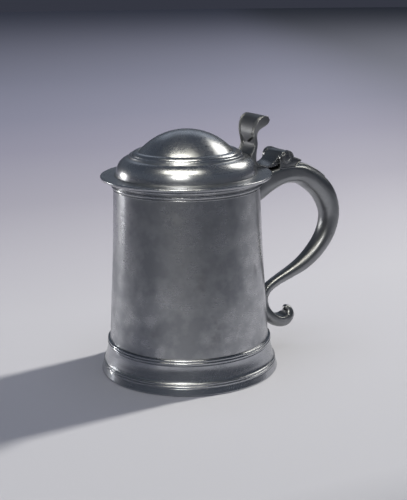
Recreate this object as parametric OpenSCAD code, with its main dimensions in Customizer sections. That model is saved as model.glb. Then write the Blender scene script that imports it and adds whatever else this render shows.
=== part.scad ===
// Lidded pewter tankard with a hollow scroll handle and a hinged, domed lid.
// Origin: on the drum's axis, in the plane that the foot rests on. +Z is up, the handle lies
// towards +X and the hinge pin runs along Y. Sizes are in millimetres.

/* [Foot] */
// Radius of the foot where it rests
foot_r = 62.5; // [61.5:0.25:64]
// Radius of the upper beads of the base moulding
shoulder_r = 57.9; // [57.6:0.1:58.4]
// Height of the bottom disc's underside
bottom_z = 9; // [8.5:0.25:10]
// Thickness of the bottom disc
bottom_t = 2.2; // [1.8:0.1:3]

/* [Drum] */
// Outer radius of the drum inside the base moulding
drum_foot_r = 56; // [55.8:0.1:56.2]
// Outer radius of the drum just below its lip
drum_neck_r = 50.4; // [50:0.1:50.8]
// Height of the drum's top edge
lip_z = 136.3; // [136:0.1:136.4]
// Radius of the upper lip band
lip_r = 51.9; // [51.5:0.1:52.2]
// Thickness of the drum's wall
wall_t = 2; // [1.8:0.1:2.2]

/* [Lid] */
// Radius of the lid's flange
flange_r = 59.1; // [58.5:0.1:59.4]
// Thickness of the flange
flange_t = 2; // [1.8:0.1:2.2]
// Radius of the lid's rounded wall where it meets the flange
lid_wall_r = 48.5; // [48.2:0.1:48.8]
// Height of the lid's rounded wall
lid_wall_h = 12.6; // [12:0.1:13]
// Radius of the dome at its base
dome_r = 32; // [31:0.25:32.5]
// Height of the dome above its base
dome_h = 14.2; // [12:0.1:16]
// Outer radius of the locating ring inside the lid
bezel_r = 47.2; // [47:0.1:47.4]
// Depth of the locating ring below the flange
bezel_h = 5.5; // [4:0.1:6]

/* [Hinge] */
// Distance of the hinge pin from the drum's axis
pin_x = 73.4; // [73.2:0.1:73.8]
// Height of the hinge pin
pin_z = 144.6; // [144.5:0.1:144.8]
// Radius of the hinge pin
pin_r = 2.2; // [1.8:0.1:2.4]
// Radial clearance of the pin in the lid's knuckle
pin_clearance = 0.05; // [0.01:0.01:0.1]
// Outer radius of the lid's knuckle
knuckle_r = 5; // [4.8:0.1:5.1]
// Width of the whole hinge along the pin
hinge_w = 24.8; // [24:0.2:26]
// Thickness of each ear
ear_t = 3; // [2.6:0.1:3.4]
// Gap between each ear and the lid's knuckle
ear_gap = 0.3; // [0.2:0.05:0.5]
// Radius of the caps that close the pin's hole
cap_r = 3.4; // [3:0.1:3.8]

/* [Thumbpiece] */
// Width of the thumbpiece at its middle
thumb_w = 20.5; // [18:0.5:22]
// Width of the thumbpiece at its rolled top
thumb_top_w = 26.5; // [23:0.5:28]

/* [Handle] */
// Wall thickness of the hollow handle
handle_wall = 2.4; // [2:0.1:2.8]
// Height of the raised drop above the handle's back
tongue_lift = 1.2; // [0.8:0.1:1.6]

/* [Hidden] */

pewter = [0.50, 0.51, 0.53];
pewter_dark = [0.36, 0.37, 0.39];
iron = [0.25, 0.24, 0.23];
turned_fn = 96;

base_h = 23.6;
foot_bead_z = 6.6;
shoulder_bead_z = 21.6;
lid_z = lip_z + 0.4;
flange_top = lid_z + flange_t;
lid_metal = 2.4;
step_r = dome_r + 5.2;
step_h = 2.9;
dome_z = flange_top + lid_wall_h + step_h + 0.8;
dome_sphere_r = (dome_r * dome_r + dome_h * dome_h) / (2 * dome_h);
dome_centre_z = dome_z + dome_h - dome_sphere_r;
bezel_t = 1.8;
cap_depth = 0.8;
cap_proud = 0.5;
joint_sink = 0.3;

// The scroll's centre line from the drum, over the top and down to the curled end. Each station is
// [x, z, half thickness, half width, squareness of the outer side, depth of the inner channel].
scroll = [
    [50.0, 122.0, 11.8, 9.6, 2.2, 0],
    [57.0, 125.2, 10.0, 10.4, 3, 0],
    [64.0, 128.2, 8.5, 11.6, 6, 0],
    [72.0, 130.6, 7.4, 12.3, 8, 0],
    [80.0, 131.2, 6.9, 12.2, 8, 0],
    [92.0, 129.4, 7.2, 11.0, 3.4, 0],
    [103.2, 122.8, 7.8, 9.8, 2.4, 0],
    [110.8, 116.0, 8.2, 9.2, 2.2, 0],
    [116.0, 106.8, 7.9, 8.7, 2.2, 0],
    [118.1, 97.0, 7.2, 8.3, 2.2, 0],
    [116.3, 86.8, 6.7, 8.0, 2.2, 0],
    [111.6, 77.7, 6.2, 7.7, 2.2, 0],
    [104.0, 69.0, 5.8, 7.1, 2.2, 0],
    [94.6, 61.8, 5.2, 6.2, 2.2, 0],
    [84.2, 56.7, 4.3, 5.2, 2.2, 0],
    [73.4, 52.0, 3.7, 4.4, 2.2, 0],
    [65.6, 47.6, 3.5, 4.2, 2.2, 0],
    [61.6, 42.2, 3.6, 4.2, 2.2, 0],
    [61.0, 36.2, 3.8, 4.5, 2.4, 0],
    [62.6, 30.2, 4.4, 5.4, 3, 0.8],
    [67.2, 25.0, 4.8, 6.7, 3.4, 1.8],
    [73.0, 21.8, 5.1, 7.5, 3.4, 2.4],
    [78.6, 21.6, 5.2, 7.1, 3.4, 2.2],
    [82.3, 24.6, 4.6, 5.9, 3, 1.4],
    [82.2, 28.2, 3.3, 4.3, 2.4, 0.5],
    [80.3, 30.6, 1.8, 2.4, 2.2, 0]
];
neck_station = 17;
hollow_end_station = 14;
inner_side_squareness = 2.2;
rings_per_station = 3;
ring_sides = 28;

// The thumbpiece's outline seen along the pin: up the face, over the rolled top, down the back.
thumb_outline = [
    [47.3, 138.4], [47.2, 143.0], [46.0, 146.8], [45.4, 148.4], [47.0, 150.4], [47.9, 152.2],
    [48.4, 155.0], [48.0, 158.0], [47.5, 160.5], [47.3, 163.5], [47.7, 166.3], [48.7, 169.1],
    [50.0, 172.2], [52.1, 174.4], [55.0, 175.5], [57.5, 175.1], [58.9, 173.8], [58.8, 171.8],
    [56.8, 168.8], [53.6, 167.2], [51.5, 165.6], [50.5, 163.6], [50.4, 161.0], [50.7, 158.0],
    [51.0, 155.5], [50.6, 152.9], [50.0, 149.4], [49.8, 146.0], [50.3, 143.0], [50.8, 140.5],
    [50.8, 138.4]
];
thumb_base_z = 138.4;
thumb_flare_z = 165;
thumb_top_z = 176;

// Outline points ---------------------------------------------------------------------------------

// Points of an elliptical arc from one angle to another
function arc(cx, cy, rx, ry, from, to, steps) =
    [for (i = [0 : steps]) let (a = from + (to - from) * i / steps) [cx + rx * cos(a), cy + ry * sin(a)]];

// A half-round bead that stands out from a turned wall, going up
function bead(r, z, half_h, out) = arc(r, z, out, half_h, -90, 90, 4);

// Lofted scroll ----------------------------------------------------------------------------------

function clamp_index(list, i) = list[max(0, min(len(list) - 1, i))];

// A smooth value through the stations, at place u, where whole numbers are the stations
function along(list, u) =
    let (i = min(floor(u), len(list) - 2), t = u - i,
         a = clamp_index(list, i - 1), b = list[i], c = list[i + 1], d = clamp_index(list, i + 2))
    0.5 * (2 * b + (c - a) * t + (2 * a - 5 * b + 4 * c - d) * t * t + (3 * b - a - 3 * c + d) * t * t * t);

// Direction of the scroll's centre line at u; at the drum it is level, so that the root is upright
function heading(u) =
    let (step = 0.02, p = along(scroll, max(0, u - step)), q = along(scroll, min(len(scroll) - 1, u + step)),
         raw = atan2(q[1] - p[1], q[0] - p[0]))
    u < 1 ? raw * u : raw;

function signed_power(v, e) = sign(v) * pow(abs(v), e);

// A point in the plane of the section at u: out is towards the scroll's back, side is along the pin
function section_point(u, out, side) =
    let (s = along(scroll, u), a = heading(u))
    [s[0] - out * sin(a), side, s[1] + out * cos(a)];

// The section at u, made smaller all round by inset
function section_ring(u, inset) =
    let (s = along(scroll, u), h = s[2] - inset, w = s[3] - inset)
    [for (k = [0 : ring_sides - 1])
        let (c = cos(360 * k / ring_sides),
             e = 2 / (c > 0 ? s[4] : inner_side_squareness),
             out = h * signed_power(c, e) - s[5] * pow(max(0, c), 3),
             side = w * signed_power(sin(360 * k / ring_sides), e))
        section_point(u, out, side)];

// A closed skin over rings of equal point counts
module loft(rings) {
    m = len(rings[0]);
    n = len(rings);
    side_faces = [for (i = [0 : n - 2]) for (k = [0 : m - 1])
        [i * m + k, i * m + (k + 1) % m, (i + 1) * m + (k + 1) % m, (i + 1) * m + k]];
    first_cap = [[for (k = [0 : m - 1]) m - 1 - k]];
    last_cap = [[for (k = [0 : m - 1]) (n - 1) * m + k]];
    polyhedron(points = [for (r = rings) each r], faces = concat(side_faces, first_cap, last_cap));
}

function places(from, to) = [for (i = [0 : (to - from) * rings_per_station]) from + i / rings_per_station];
function reversed(list) = [for (i = [len(list) - 1 : -1 : 0]) list[i]];

// Turned pieces ----------------------------------------------------------------------------------

// The wall tapers in three stages, so that it is very slightly hollow between foot and neck
module drum() {
    band_low_z = lip_z - 4.9;
    band_high_z = lip_z - 1.7;
    line_z = lip_z - 6.9;
    low_z = 50;
    low_r = drum_foot_r - 1.7;
    mid_z = 86;
    mid_r = drum_foot_r - 3.8;
    bottom_edge = bottom_z - 1;
    outer = concat(
        [[drum_foot_r, bottom_edge], [drum_foot_r, base_h], [low_r, low_z], [mid_r, mid_z],
         [drum_neck_r, line_z - 0.8]],
        bead(drum_neck_r, line_z, 0.35, 0.35),
        arc(drum_neck_r + 0.3, band_low_z, 0.9, 1, -90, 90, 4),
        arc(lip_r - 1, band_high_z, 1, 1.3, -90, 60, 4),
        [[lip_r - 0.9, lip_z]]);
    inner = [[drum_neck_r - wall_t + 0.2, lip_z], [drum_neck_r - wall_t, line_z - 1.4],
             [mid_r - wall_t, mid_z], [low_r - wall_t, low_z], [drum_foot_r - wall_t, base_h],
             [drum_foot_r - wall_t, bottom_edge]];
    color(pewter)
        rotate_extrude($fn = turned_fn)
            polygon(concat(outer, inner));
}

module base_moulding() {
    bead_r = foot_r - 1.6;
    hollow_low_r = foot_r - 3.3;
    hollow_mid_r = foot_r - 4.3;
    hollow_high_r = foot_r - 4.9;
    outer = concat(
        [[foot_r - 1.9, 0], [foot_r - 0.2, 0], [foot_r, 0.8], [foot_r - 1.3, foot_bead_z - 2]],
        bead(bead_r, foot_bead_z - 0.9, 0.7, 0.4),
        bead(bead_r - 0.3, foot_bead_z + 0.7, 0.7, 0.4),
        [[bead_r - 0.7, foot_bead_z + 1.9], [hollow_low_r, foot_bead_z + 4.4],
         [hollow_mid_r, foot_bead_z + 7.9], [hollow_high_r, shoulder_bead_z - 2]],
        bead(shoulder_r - 0.6, shoulder_bead_z - 0.9, 0.9, 0.6),
        bead(shoulder_r - 0.8, shoulder_bead_z + 0.9, 0.8, 0.6),
        [[drum_foot_r + 0.6, base_h]]);
    inner = [[drum_foot_r, base_h], [drum_foot_r, bottom_z - 1], [drum_foot_r + 1, bottom_z - 2.4],
             [foot_r - 3.2, 1.2]];
    color(pewter)
        rotate_extrude($fn = turned_fn)
            polygon(concat(outer, inner));
}

module bottom_plate() {
    ring_r = 30;
    color(pewter_dark)
        rotate_extrude($fn = turned_fn)
            polygon([[0, bottom_z + 0.6], [ring_r, bottom_z + 0.6], [ring_r + 1, bottom_z],
                     [drum_foot_r - wall_t, bottom_z], [drum_foot_r - wall_t, bottom_z + bottom_t],
                     [0, bottom_z + bottom_t]]);
}

module lid() {
    ovolo_r = 10;
    wall_top = flange_top + lid_wall_h;
    dome_edge = acos(dome_r / dome_sphere_r);
    inner_sphere_r = dome_sphere_r - lid_metal;
    inner_edge = acos((dome_r - 2) / inner_sphere_r);
    outer = concat(
        arc(0, dome_centre_z, dome_sphere_r, dome_sphere_r, 90, dome_edge, 10),
        [[dome_r + 0.5, dome_z - 0.5]],
        arc(dome_r + 1, wall_top + 1, step_r - dome_r - 1, step_h, 90, 0, 4),
        arc(step_r + 1, wall_top + 0.7, 0.9, 0.9, 150, 0, 4),
        arc(lid_wall_r - ovolo_r, flange_top + 0.5, ovolo_r, lid_wall_h - 0.7, 84, 0, 8),
        [[lid_wall_r + 0.5, flange_top], [flange_r - 1.6, flange_top]],
        arc(flange_r - 0.8, flange_top - 0.5, 0.8, 0.8, 90, 0, 3),
        [[flange_r, lid_z + 0.5], [flange_r - 0.6, lid_z]]);
    inner = concat(
        [[lid_wall_r - 2.5, lid_z], [lid_wall_r - 2.5, flange_top + 0.8]],
        arc(lid_wall_r - 11.5, flange_top + 0.8, 9, lid_wall_h - 2.4, 8, 90, 6),
        [[dome_r + 0.6, wall_top - 1.2], [dome_r - 1.2, wall_top + 0.4]],
        arc(0, dome_centre_z, inner_sphere_r, inner_sphere_r, inner_edge, 90, 8));
    color(pewter)
        rotate_extrude($fn = turned_fn)
            polygon(concat(outer, inner));
}

module lid_bezel() {
    color(pewter_dark)
        rotate_extrude($fn = turned_fn)
            polygon([[bezel_r - bezel_t, lid_z - bezel_h], [bezel_r - 0.5, lid_z - bezel_h],
                     [bezel_r, lid_z - bezel_h + 0.8], [bezel_r, lid_z], [bezel_r - bezel_t, lid_z]]);
}

// Hinge ------------------------------------------------------------------------------------------

// A straight extrusion of an outline in X and Z, centred on the handle's own plane
module across(width) {
    translate([0, width / 2, 0])
        rotate([90, 0, 0])
            linear_extrude(width)
                children();
}

module along_pin(r, width) {
    translate([pin_x, width / 2, pin_z])
        rotate([90, 0, 0])
            cylinder(h = width, r = r, $fn = 64);
}

module lid_lug() {
    width = hinge_w - 2 * ear_t - 2 * ear_gap;
    trough_r = 10;
    trough_x = 58.5;
    trough_z = flange_top + 0.9 + trough_r;
    strap_x = 50.1;
    strap = concat(
        [[strap_x, flange_top - joint_sink], [60.2, flange_top - joint_sink], [64, flange_top - 0.1],
         [pin_x - 3.4, pin_z - 3.6], [pin_x, pin_z], [pin_x - 4.9, pin_z - 0.6]],
        arc(trough_x, trough_z, trough_r, trough_r, -42, -142, 8),
        [[strap_x, trough_z - 5.4]]);
    color(pewter_dark)
        difference() {
            union() {
                across(width) polygon(strap);
                along_pin(knuckle_r, width);
            }
            along_pin(pin_r + pin_clearance, hinge_w);
        }
}

module thumbpiece() {
    half = thumb_w / 2;
    top_half = thumb_top_w / 2;
    color(pewter_dark)
        intersection() {
            across(2 * thumb_top_w) polygon(thumb_outline);
            rotate([90, 0, 90])
                linear_extrude(flange_r)
                    polygon([[-half + 1, thumb_base_z], [half - 1, thumb_base_z], [half, thumb_base_z + 8],
                             [half, thumb_flare_z - 8], [half + 0.6, thumb_flare_z], [top_half, thumb_top_z - 4],
                             [top_half, thumb_top_z], [-top_half, thumb_top_z], [-top_half, thumb_top_z - 4],
                             [-half - 0.6, thumb_flare_z], [-half, thumb_flare_z - 8], [-half, thumb_base_z + 8]]);
        }
}

module hinge_ear(side) {
    seat_z = 137;
    round_r = 5.7;
    color(pewter_dark)
        difference() {
            translate([0, side * (hinge_w - ear_t) / 2, 0])
                across(ear_t)
                    union() {
                        translate([pin_x + 0.2, pin_z - 0.5])
                            circle(r = round_r, $fn = 64);
                        polygon([[68, seat_z], [80, seat_z], [81.4, 137.8], [83.2, 139.4], [85.8, 141.6],
                                 [83.6, 143.1], [81.4, 144], [79.2, 144.2], [67.9, pin_z - 0.5]]);
                    }
            along_pin(pin_r, 2 * hinge_w);
            translate([0, side * hinge_w / 2, 0])
                along_pin(cap_r, 2 * cap_depth);
        }
}

module hinge_ear_near() {
    hinge_ear(-1);
}

module hinge_ear_far() {
    hinge_ear(1);
}

module hinge_pin() {
    color(iron)
        along_pin(pin_r, hinge_w - 2 * cap_depth);
}

module pin_cap(side) {
    thickness = cap_depth + cap_proud;
    color(pewter)
        translate([0, side * ((hinge_w - thickness) / 2 + cap_proud), 0])
            along_pin(cap_r, thickness);
}

module pin_cap_near() {
    pin_cap(-1);
}

module pin_cap_far() {
    pin_cap(1);
}

// Handle -----------------------------------------------------------------------------------------

// Hollow as cast: the cavity is open at the root, where the drum's wall closes it
module handle() {
    skin = [for (u = reversed(places(0, neck_station))) section_ring(u, 0)];
    cavity = [for (u = places(0, hollow_end_station)) section_ring(u, handle_wall)];
    color(pewter_dark)
        loft(concat(skin, cavity));
}

module handle_terminal() {
    color(pewter_dark)
        loft([for (u = reversed(places(neck_station, len(scroll) - 1))) section_ring(u, 0)]);
}

// A raised leaf on the handle's back that ends in a drop
module handle_tongue() {
    first = 4;
    last = 6.6;
    half_widths = [6, 4.6, 3.4, 2.8, 3.4, 2.6, 0.6];
    sink = 1;
    half_t = (tongue_lift + sink) / 2;
    steps = 18;
    sides = 16;
    rings = [for (i = [steps : -1 : 0])
        let (v = i / steps, u = first + (last - first) * v,
             half_w = along(half_widths, v * (len(half_widths) - 1)),
             level = along(scroll, u)[2] + tongue_lift - half_t,
             thin = i == steps ? 0.4 : 1)
        [for (k = [0 : sides - 1])
            section_point(u, level + half_t * thin * cos(360 * k / sides), half_w * sin(360 * k / sides))]];
    color(pewter_dark)
        loft(rings);
}

module lower_lug() {
    lug_r = 3.2;
    lug_z = 43.5;
    lug_x = 54.4;
    lug_length = 4.4;
    color(pewter_dark)
        translate([lug_x, 0, lug_z])
            rotate([0, 90, 0])
                cylinder(h = lug_length, r = lug_r, $fn = 48);
}

drum();
base_moulding();
bottom_plate();
lid();
lid_bezel();
lid_lug();
thumbpiece();
hinge_ear_near();
hinge_ear_far();
hinge_pin();
pin_cap_near();
pin_cap_far();
handle();
handle_tongue();
handle_terminal();
lower_lug();
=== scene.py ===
"""A lidded pewter tankard: turned drum, foot and lid, cast scroll handle, hinge and thumbpiece.

Lengths in this script are written in millimetres and made metres as each mesh is built. +Z is up,
the handle lies towards +X and the hinge pin runs along Y.
"""
import math

import bmesh
import bpy
import numpy as np
from mathutils import Matrix, Vector


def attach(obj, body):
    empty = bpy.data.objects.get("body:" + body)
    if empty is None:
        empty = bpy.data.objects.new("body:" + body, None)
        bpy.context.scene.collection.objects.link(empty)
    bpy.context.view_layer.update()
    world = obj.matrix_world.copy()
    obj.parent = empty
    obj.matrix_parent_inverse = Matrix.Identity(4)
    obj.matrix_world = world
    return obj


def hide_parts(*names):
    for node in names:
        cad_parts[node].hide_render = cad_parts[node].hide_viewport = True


MM = 0.001
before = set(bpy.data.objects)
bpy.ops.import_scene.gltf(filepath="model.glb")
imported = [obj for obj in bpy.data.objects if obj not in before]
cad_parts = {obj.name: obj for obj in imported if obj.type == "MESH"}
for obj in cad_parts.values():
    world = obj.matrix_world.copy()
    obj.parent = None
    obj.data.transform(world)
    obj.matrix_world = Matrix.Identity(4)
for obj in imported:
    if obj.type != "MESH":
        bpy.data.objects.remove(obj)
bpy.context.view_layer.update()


# Node trees --------------------------------------------------------------------------------------

class Value:
    """A number that changes over a surface. Sums and products of it add Math nodes to its tree."""

    def __init__(self, works, socket):
        self.works = works
        self.socket = socket

    def maths(self, operation, *others, clamp=False):
        return self.works.node("ShaderNodeMath", {"operation": operation, "use_clamp": clamp},
                               dict(enumerate((self,) + others)))

    def __add__(self, other):
        return self.maths("ADD", other)

    def __radd__(self, other):
        return self.maths("ADD", other)

    def __sub__(self, other):
        return self.maths("SUBTRACT", other)

    def __rsub__(self, other):
        return (self * -1.0).maths("ADD", other)

    def __mul__(self, other):
        return self.maths("MULTIPLY", other)

    def __rmul__(self, other):
        return self.maths("MULTIPLY", other)

    def __truediv__(self, other):
        return self.maths("DIVIDE", other)

    def __rtruediv__(self, other):
        return self.works.node("ShaderNodeMath", {"operation": "DIVIDE"}, {0: other, 1: self})

    def held(self):
        """The same number kept between 0 and 1."""
        return self.maths("ADD", 0.0, clamp=True)

    def rise(self, low, high):
        """0 below low, 1 above high, with a soft slope between."""
        return self.works.node("ShaderNodeMapRange", {"interpolation_type": "SMOOTHSTEP"},
                               {0: self, 1: low, 2: high, 3: 0.0, 4: 1.0})


class Works:
    """A node tree that is being put together, for a finish or for a turning."""

    def __init__(self, tree):
        self.tree = tree

    def node(self, kind, settings=None, inputs=None, out=0):
        """Adds one node. Settings come first, then the values or links of its sockets."""
        made = self.tree.nodes.new(kind)
        for name, setting in (settings or {}).items():
            if name == "stops":
                ramp = made.color_ramp
                for spare in list(ramp.elements)[2:]:
                    ramp.elements.remove(spare)
                while len(ramp.elements) < len(setting):
                    ramp.elements.new(0.5)
                for element, (place, colour) in zip(ramp.elements, setting):
                    element.position = place
                    element.color = colour
            else:
                setattr(made, name, setting)
        for key, given in (inputs or {}).items():
            socket = made.inputs[key]
            if isinstance(given, Value):
                self.tree.links.new(given.socket, socket)
            else:
                socket.default_value = given
        return Value(self, made.outputs[out])

    def mixed(self, factor, first, second):
        """Two colours mixed."""
        return self.node("ShaderNodeMix", {"data_type": "RGBA"}, {0: factor, 6: first, 7: second}, out=2)

    def attribute(self, name):
        return self.node("ShaderNodeAttribute", {"attribute_name": name}, out="Fac")

    def vector(self, x, y, z):
        return self.node("ShaderNodeCombineXYZ", {}, {0: x, 1: y, 2: z})

    def axes(self, vector):
        """The X, Y and Z of a vector."""
        split = self.node("ShaderNodeSeparateXYZ", {}, {0: vector}).socket.node
        return [Value(self, split.outputs[k]) for k in range(3)]

    def end_with(self, shader, kind="ShaderNodeOutputMaterial"):
        ending = self.tree.nodes.new(kind)
        self.tree.links.new(shader.socket, ending.inputs["Surface"])


def new_material(name):
    """A material with nothing in it yet, and the works to fill it."""
    material = bpy.data.materials.new(name)
    material.use_nodes = True
    material.node_tree.nodes.clear()
    return material, Works(material.node_tree)


# Turning on the lathe ----------------------------------------------------------------------------

SWELL_SCALE = 14.0      # slow swells, about 70 mm apart
KNOCK_SCALE = 60.0      # dents, about 17 mm apart
KNOCKED = (0.56, 0.8)   # where dents start, and where they are deepest
STEADY_R = 0.004        # nearer the axis than this, in metres, little is moved
WELD = 1e-6             # points closer than this, in metres, are one point


def lathe_tree():
    """The lathe: carries a closed outline round the Z axis and takes each turn out of true a little."""
    tree = bpy.data.node_groups.new("lathe", "GeometryNodeTree")
    entries = [("Outline", "NodeSocketGeometry"), ("Outline Points", "NodeSocketInt"),
               ("Segments", "NodeSocketInt"), ("Out Of Round", "NodeSocketFloat"),
               ("Dents", "NodeSocketFloat"), ("Seed", "NodeSocketFloat"),
               ("Finish", "NodeSocketMaterial")]
    for name, kind in entries:
        tree.interface.new_socket(name, in_out="INPUT", socket_type=kind)
    tree.interface.new_socket("Turning", in_out="OUTPUT", socket_type="NodeSocketGeometry")
    works = Works(tree)
    entry = tree.nodes.new("NodeGroupInput")

    def given(name):
        return Value(works, entry.outputs[name])

    around = given("Segments") + 1.0
    sheet = works.node("GeometryNodeMeshGrid", {}, {
        "Size X": 1.0, "Size Y": 1.0, "Vertices X": given("Outline Points") + 1.0, "Vertices Y": around})
    index = works.node("GeometryNodeInputIndex")
    row = ((index + 0.5) / around).maths("FLOOR")
    column = index - row * around
    place = row.maths("FLOORED_MODULO", given("Outline Points"))
    position = works.node("GeometryNodeInputPosition")
    corner = works.node("GeometryNodeSampleIndex", {"data_type": "FLOAT_VECTOR"}, {
        "Geometry": given("Outline"), "Value": position, "Index": place})
    true_radius, _, height = works.axes(corner)
    angle = column * math.tau / given("Segments")
    cosine = angle.maths("COSINE")
    sine = angle.maths("SINE")
    plain = works.vector(true_radius * cosine, true_radius * sine, height)
    swells = works.node("ShaderNodeTexNoise", {"noise_dimensions": "4D"}, {
        "Vector": plain, "W": given("Seed"), "Scale": SWELL_SCALE, "Detail": 1.0})
    knocks = works.node("ShaderNodeTexNoise", {"noise_dimensions": "4D"}, {
        "Vector": plain, "W": given("Seed") + 7.0, "Scale": KNOCK_SCALE, "Detail": 2.0})
    outwards = (swells - 0.5) * given("Out Of Round") - knocks.rise(*KNOCKED) * given("Dents")
    radius = true_radius + outwards * (true_radius / STEADY_R).held()
    turned = works.vector(radius * cosine, radius * sine, height)
    carried = works.node("GeometryNodeSetPosition", {}, {"Geometry": sheet, "Position": turned})
    travel = works.node("GeometryNodeInputNamedAttribute", {"data_type": "FLOAT"}, {"Name": "travel"})
    kept = works.node("GeometryNodeSampleIndex", {"data_type": "FLOAT"}, {
        "Geometry": given("Outline"), "Value": travel, "Index": place})
    marked = works.node("GeometryNodeStoreNamedAttribute", {"data_type": "FLOAT", "domain": "POINT"}, {
        "Geometry": carried, "Name": "travel", "Value": kept})
    joined = works.node("GeometryNodeMergeByDistance", {}, {"Geometry": marked, "Distance": WELD})
    smooth = works.node("GeometryNodeSetShadeSmooth", {}, {"Geometry": joined})
    real = works.node("GeometryNodeRealizeInstances", {}, {"Geometry": smooth})
    coated = works.node("GeometryNodeSetMaterial", {}, {"Geometry": real, "Material": given("Finish")})
    leave = tree.nodes.new("NodeGroupOutput")
    tree.links.new(coated.socket, leave.inputs[0])
    return tree


LATHE = lathe_tree()
LATHE_ENTRY = {s.name: s.identifier for s in LATHE.interface.items_tree if s.in_out == "INPUT"}


def eased(corners, steps=4):
    """Rounds each corner of a closed outline. A corner is (radius, height), or (radius, height,
    easing)."""
    points = []
    count = len(corners)
    for i, corner in enumerate(corners):
        here = Vector(corner[:2])
        back = Vector(corners[i - 1][:2]) - here
        ahead = Vector(corners[(i + 1) % count][:2]) - here
        easing = corner[2] if len(corner) > 2 else 0.0
        half = back.angle(ahead) / 2
        if easing <= 0 or half > 1.5:
            points.append(here)
            continue
        reach = easing / math.tan(half)
        start = here + back.normalized() * min(reach, 0.45 * back.length)
        end = here + ahead.normalized() * min(reach, 0.45 * ahead.length)
        for k in range(steps + 1):
            t = k / steps
            points.append(start * (1 - t) ** 2 + here * (2 * t * (1 - t)) + end * t ** 2)
    return points


def spaced(points, longest=4.0, hold=0.25):
    """Adds points on long stretches, close to their ends too, so that flat walls shade flat."""
    made = []
    for i, a in enumerate(points):
        b = points[(i + 1) % len(points)]
        length = (b - a).length
        made.append(a)
        if length > 4 * hold:
            stops = [hold / length]
            parts = max(1, round(length / longest))
            stops += [k / parts for k in range(1, parts)]
            stops.append(1 - hold / length)
            made += [a.lerp(b, t) for t in stops]
    return made


def arc(cx, cz, rx, rz, start, end, steps):
    """Points of an arc from one angle to another, in degrees."""
    angles = [math.radians(start + (end - start) * k / steps) for k in range(steps + 1)]
    return [(cx + rx * math.cos(a), cz + rz * math.sin(a)) for a in angles]


def through(knots, steps):
    """A smooth line through the knots."""
    line = []
    for k in range((len(knots) - 1) * steps + 1):
        line.append(tuple(along(knots, k / steps)))
    return line


def along(stations, u):
    """A smooth value through the stations at place u, where whole numbers are the stations."""
    last = len(stations) - 1
    i = min(int(u), last - 1)
    t = u - i
    a, b, c, d = (np.array(stations[max(0, min(last, j))], float) for j in (i - 1, i, i + 1, i + 2))
    return 0.5 * (2 * b + (c - a) * t + (2 * a - 5 * b + 4 * c - d) * t ** 2
                  + (3 * b - a - 3 * c + d) * t ** 3)


def turned_mesh(name, outline, finish, segments, out_of_round=0.0, dents=0.0, seed=0.0):
    """A plain mesh turned from a closed outline of (radius, height) corners."""
    points = spaced(eased(outline))
    drawn = bpy.data.meshes.new(name + ".outline")
    drawn.from_pydata([(p.x * MM, 0, p.y * MM) for p in points], [], [])
    travel = drawn.attributes.new("travel", "FLOAT", "POINT")
    distance = 0.0
    for i, p in enumerate(points):
        distance += (p - points[max(0, i - 1)]).length
        travel.data[i].value = distance
    blank = bpy.data.objects.new(name + ".outline", drawn)
    bpy.context.scene.collection.objects.link(blank)
    lathe = blank.modifiers.new("lathe", "NODES")
    lathe.node_group = LATHE
    for entry, setting in {"Outline Points": len(points), "Segments": segments,
                           "Out Of Round": out_of_round * MM, "Dents": dents * MM,
                           "Seed": float(seed), "Finish": finish}.items():
        lathe[LATHE_ENTRY[entry]] = setting
    return plain_mesh(name, blank)


def plain_mesh(name, blank):
    """Replaces a worked blank by its evaluated mesh."""
    graph = bpy.context.evaluated_depsgraph_get()
    graph.update()
    mesh = bpy.data.meshes.new_from_object(blank.evaluated_get(graph))
    old = blank.data
    bpy.data.objects.remove(blank)
    if isinstance(old, bpy.types.Mesh):
        bpy.data.meshes.remove(old)
    else:
        bpy.data.curves.remove(old)
    mesh.name = name
    return mesh


def settled(name, mesh, finish=None, outwards=True):
    """Makes a mesh into a piece: doubles merged, faces outwards, smooth, with its wear marked."""
    work = bmesh.new()
    work.from_mesh(mesh)
    bmesh.ops.remove_doubles(work, verts=work.verts, dist=WELD)
    bmesh.ops.dissolve_degenerate(work, edges=work.edges, dist=1e-7)
    if outwards:
        bmesh.ops.recalc_face_normals(work, faces=work.faces)
        if work.calc_volume(signed=True) < 0:
            bmesh.ops.reverse_faces(work, faces=work.faces)
    for face in work.faces:
        face.smooth = True
    work.to_mesh(mesh)
    work.free()
    if finish is not None:
        mesh.materials.clear()
        mesh.materials.append(finish)
    mark_wear(mesh)
    piece = bpy.data.objects.new(name, mesh)
    bpy.context.scene.collection.objects.link(piece)
    return piece


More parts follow.
